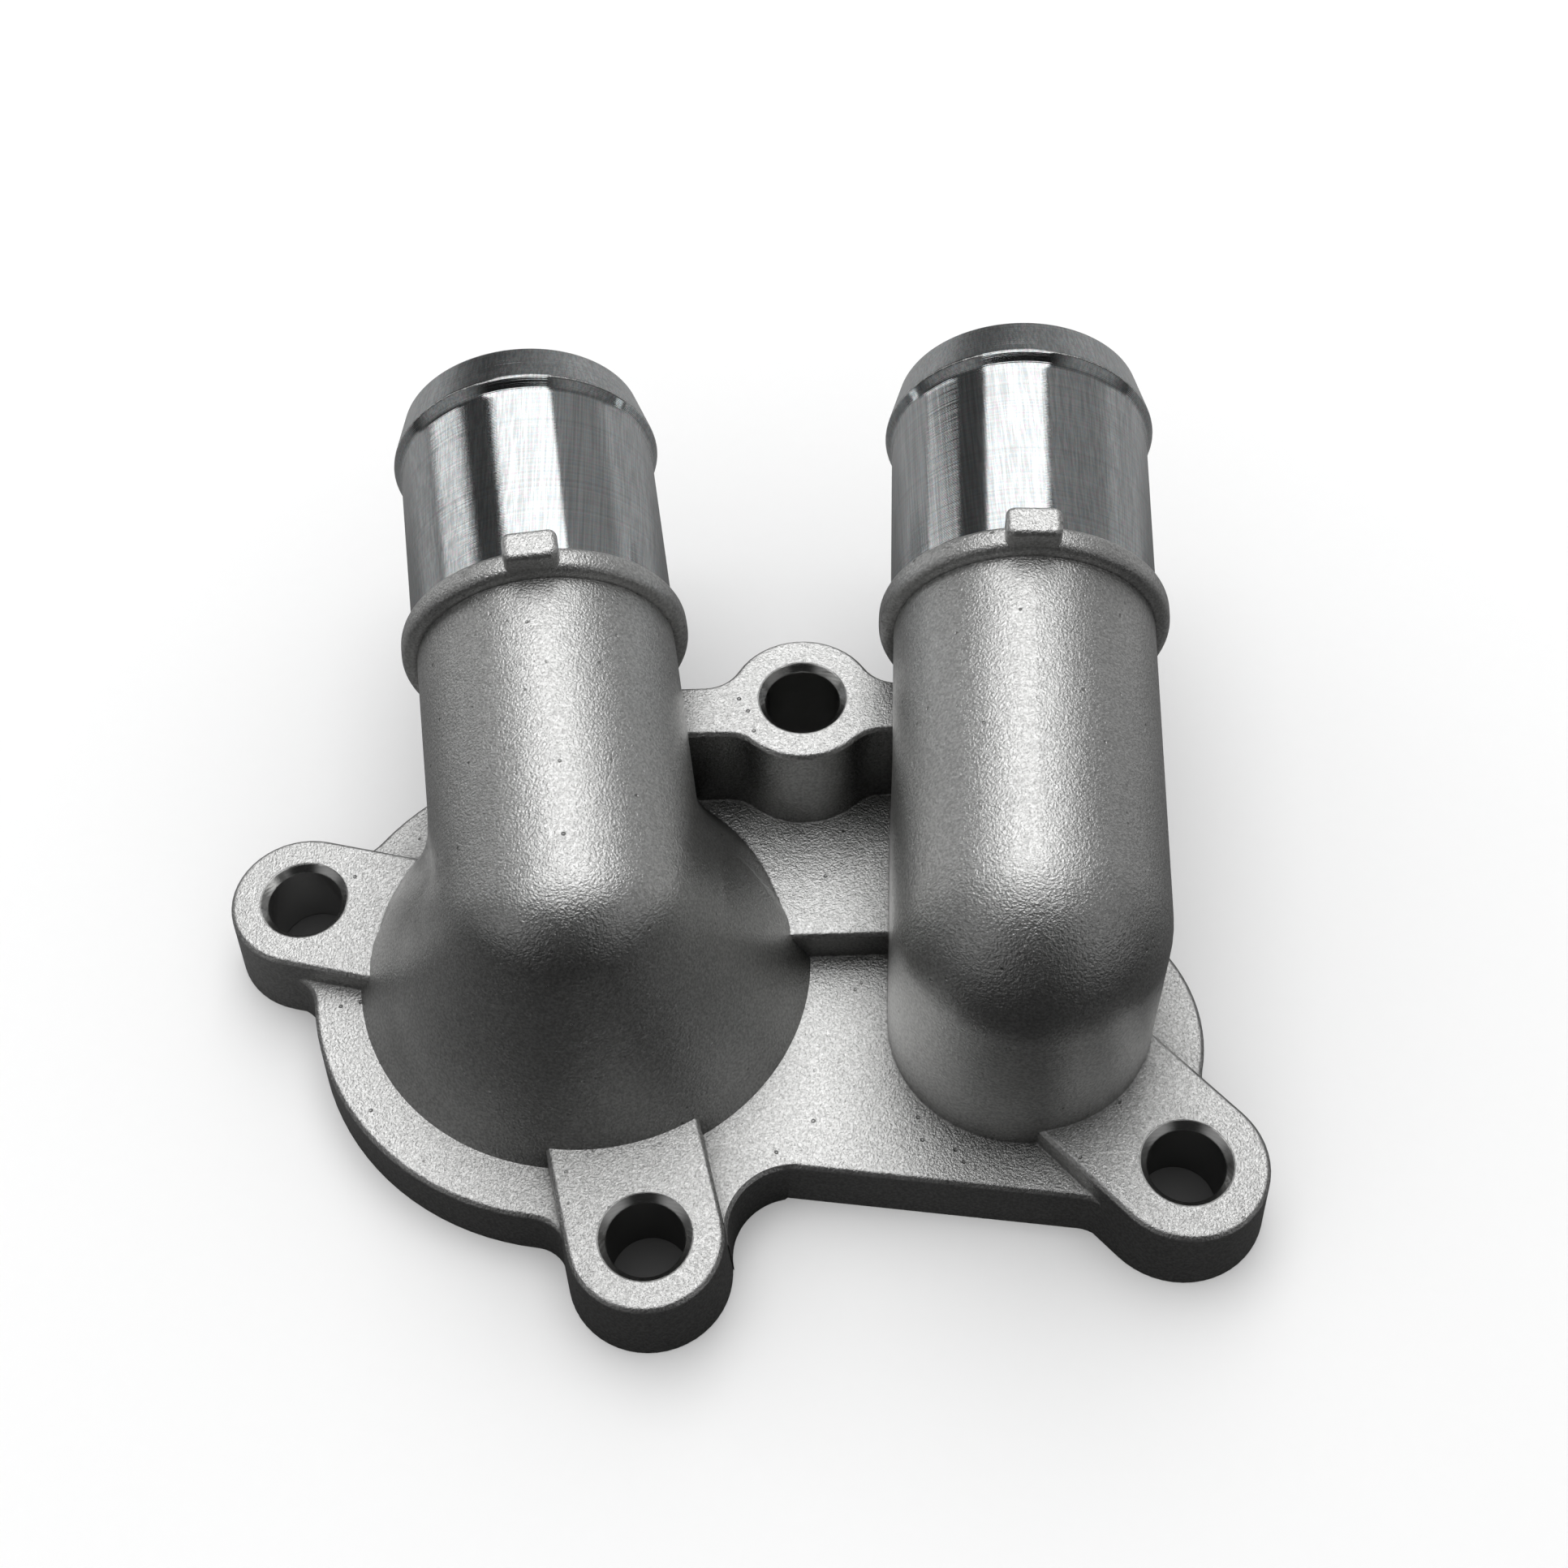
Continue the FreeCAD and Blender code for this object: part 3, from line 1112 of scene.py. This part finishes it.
@dataclass
class Studio:
    """The camera, a pale floor and plain soft light.

    The eye and the patterns on the floor are in millimetres, the floor and the lights in metres.
    """

    eye: Triple = (23.4, -138.0, 243.46)
    pitch: float = 34.51
    roll: float = -1.75
    lens: float = 54.65
    sensor: float = 36.0
    floor_size: float = 3.0
    floor_points: int = 33
    floor_dish: float = 0.02
    floor_drop: float = 0.0001
    floor_tone: float = 0.93
    floor_grain: float = 2.0
    floor_mottle: float = 0.01
    panel_low: Pair = (-0.50, -0.08)
    panel_high: Pair = (0.43, 1.55)
    panel_height: float = 1.0
    panel_glow: float = 1.45
    frame_width: float = 0.035
    frame_drop: float = 0.004
    side_size: Pair = (0.24, 0.50)
    side_place: Triple = (-0.80, 0.59, 0.33)
    side_glow: float = 1.0
    # Painted shade under the lugs' bolt holes: the disc's radius and soft edge in millimetres, and
    # its tone.
    hole_shade_radius: float = 5.6
    hole_shade_edge: float = 0.8
    hole_shade_tone: float = 0.12
    mirrored_tone: float = 0.005
    mirrored_steps: tuple[Triple, ...] = (
        (-50.0, 60.0, 0.12), (60.0, 110.0, 0.16), (-80.0, -50.0, 0.022),
    )

    def build(self) -> None:
        """Adds all of it to the scene."""
        self._camera()
        self._floor()
        self._panels()
        self._world()
        bpy.context.scene.view_settings.view_transform = "Standard"

    def _camera(self) -> None:
        """Adds the camera, level and pitched down, then rolled about its own line of sight."""
        data = bpy.data.cameras.new("camera")
        data.lens = self.lens
        data.sensor_width = self.sensor
        data.clip_start = 0.01
        camera = bpy.data.objects.new("camera", data)
        level = Euler((math.radians(self.pitch), 0.0, 0.0)).to_matrix().to_4x4()
        roll = Matrix.Rotation(math.radians(self.roll), 4, "Z")
        camera.matrix_world = Matrix.Translation(Vector(self.eye) * MM) @ level @ roll
        bpy.context.scene.collection.objects.link(camera)
        bpy.context.scene.camera = camera

    def _floor(self) -> None:
        """Adds the floor, a sheet far larger than the part.

        It is flat to half its reach and dished beyond: z = d (r - 1/2)^2, with r the distance from
        its middle as a share of its half width.
        """
        line = np.linspace(-1.0, 1.0, self.floor_points) * self.floor_size
        x, y = np.meshgrid(line, line, indexing="ij")
        reach = np.hypot(x, y) / self.floor_size
        z = self.floor_dish * np.clip(reach - 0.5, 0.0, None) ** 2 - self.floor_drop
        index = np.arange(x.size).reshape(x.shape)
        faces = np.stack([index[:-1, :-1], index[1:, :-1], index[1:, 1:], index[:-1, 1:]], axis=-1)
        floor = mesh_object("floor", np.stack([x, y, z], -1).reshape(-1, 3), faces.reshape(-1, 4))
        floor.data.materials.append(self._floor_finish())

    def _floor_finish(self) -> bpy.types.Material:
        """Makes the floor's finish.

        Returns:
            A pale matt material with painted shade in discs under the lugs' bolt holes. Metal
            mirrors it as a dim floor that grows lighter towards the back.
        """
        material, graph = new_material("pale_floor")
        where = graph.place_mm()
        lit = self.floor_tone + (graph.noise(where, self.floor_grain) - 0.5) * self.floor_mottle
        # Painted shade: the floor is darkened in a disc under each lug's bolt hole.
        for hole in LUG_HOLES:
            clear = graph.from_axis(where, hole)
            clear = clear.rise(self.hole_shade_radius, self.hole_shade_radius + self.hole_shade_edge)
            lit = lit * (self.hole_shade_tone + clear * (1 - self.hole_shade_tone))
        ahead = graph.part(where, "Y")
        shade: Value | float = self.mirrored_tone
        for low, high, more in self.mirrored_steps:
            shade = shade + ahead.rise(low, high) * more
        pale = graph.node("ShaderNodeBsdfDiffuse", sockets={"Color": graph.grey(lit)})
        dim = graph.node("ShaderNodeBsdfDiffuse", sockets={"Color": graph.grey(shade)})
        mirrored = graph.node("ShaderNodeLightPath", out="Is Glossy Ray")
        shader = graph.node("ShaderNodeMixShader", sockets={0: mirrored, 1: pale, 2: dim})
        graph.end(shader, "ShaderNodeOutputMaterial")
        return material

    def _panels(self) -> None:
        """Adds the wide soft light overhead, towards the back, and a narrow one at the left."""
        low = np.array(self.panel_low)
        high = np.array(self.panel_high)
        middle = Vector((*(low + high) / 2, self.panel_height))
        down = Vector((0.0, 0.0, -1.0))
        self._panel("overhead_panel", middle, down, tuple(high - low), self.panel_glow)
        side = Vector(self.side_place)
        self._panel("side_panel", side, -side, self.side_size, self.side_glow)
        self._frame(low, high)

    def _frame(self, low: np.ndarray, high: np.ndarray) -> None:
        """Adds the black frame round the overhead light: a flat ring between two rectangles.

        Args:
            low: the light's corner nearest the viewer's left, in metres.
            high: the opposite corner.
        """
        corners = [(low[0], low[1]), (high[0], low[1]), (high[0], high[1]), (low[0], high[1])]
        inner = np.array(corners)
        outer = inner + np.sign(inner - (low + high) / 2) * self.frame_width
        level = np.full((4, 1), self.panel_height - self.frame_drop)
        ring = np.stack([np.hstack([inner, level]), np.hstack([outer, level])])
        index = np.arange(8).reshape(2, 4)
        ahead = np.roll(index, -1, axis=1)
        faces = np.stack([index[0], ahead[0], ahead[1], index[1]], axis=-1)
        frame = mesh_object("panel_frame", ring.reshape(-1, 3), faces)
        material, graph = new_material("black_frame")
        black = graph.node("ShaderNodeBsdfDiffuse", sockets={"Color": (0.004, 0.004, 0.004, 1.0)})
        graph.end(black, "ShaderNodeOutputMaterial")
        frame.data.materials.append(material)

    def _panel(self, name: str, place: Vector, facing: Vector, size: Pair, glow: float) -> None:
        """Adds one rectangular light.

        Args:
            name: its name.
            place: its middle, in metres.
            facing: the way it shines.
            size: its width and height, in metres.
            glow: how bright its face is, where 1 is white.
        """
        light = bpy.data.lights.new(name, "AREA")
        light.shape = "RECTANGLE"
        light.size, light.size_y = size
        light.energy = glow * math.pi * light.size * light.size_y
        panel = bpy.data.objects.new(name, light)
        panel.location = place
        panel.rotation_euler = facing.to_track_quat("-Z", "Y").to_euler()
        bpy.context.scene.collection.objects.link(panel)

    def _world(self) -> None:
        """Sets the surroundings: white to the camera, pale to the floor, and dim to bare metal.

        Metal mirrors a glow behind the part, lighter to the right and low down, and one at each
        side in front of it.
        """
        world = bpy.data.worlds.new("studio")
        bpy.context.scene.world = world
        world.use_nodes = True
        graph = Graph(world.node_tree)
        heading = graph.node("ShaderNodeTexCoord", out="Generated")
        side, back, up = (graph.part(heading, axis) for axis in "XYZ")
        behind = 0.05 + side.rise(-0.4, 0.3) * 0.18 + up.rise(0.25, 0.0) * 0.20
        flank = side.size().rise(0.3, 0.75) * (0.06 + up.rise(0.0, 0.3) * 0.2)
        mirrored = back.rise(-0.1, 0.6) * behind + back.rise(0.3, -0.3) * flank + 0.004
        metal = graph.node("ShaderNodeLightPath", out="Is Glossy Ray")
        seen = graph.node("ShaderNodeLightPath", out="Is Camera Ray")
        glow = graph.grey((0.8 + seen * 0.2) * (1 - metal) + mirrored * metal)
        shader = graph.node("ShaderNodeBackground", sockets={"Color": glow, "Strength": 1.0})
        graph.end(shader, "ShaderNodeOutputWorld")


@dataclass
class Housing:
    """The whole part: the casting, what completes its shape, and what is turned on its necks."""

    holes: tuple[Pair, ...] = (*LUG_HOLES, BRIDGE_HOLE)
    necks: tuple[Neck, ...] = field(default_factory=lambda: (
        Neck("left", (0.0, 0.0, 26.6), -6.4, 29.1),
        Neck("right", (48.9, -9.3, 29.4), 3.2, 36.7),
    ))

    def build(self, nodes: Mapping[str, bpy.types.Object]) -> None:
        """Dresses the casting and adds the shoulder, the web and the pieces on its necks.

        Args:
            nodes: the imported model's objects by name.
        """
        cast = BlastedCasting(holes=self.holes).material()
        added = BlastedCasting(name="blasted_shoulder", has_edges=False).material()
        casting = nodes[CAD_NODE]
        casting.data.materials.clear()
        casting.data.materials.append(cast)
        pieces = [Shoulder(self.necks[0]).build(added), CornerWeb().build(added)]
        for neck in self.necks:
            pieces += neck.build(cast)
        for piece in pieces:
            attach(piece, BODY)
            LOG.info("%s: %d faces", piece.name, len(piece.data.polygons))


def main() -> None:
    """Loads the frame and builds the part and the studio."""
    logging.basicConfig(level=logging.INFO, format="%(message)s")
    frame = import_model()
    Housing().build(frame["nodes"])
    Studio().build()


if __name__ == "__main__":
    main()
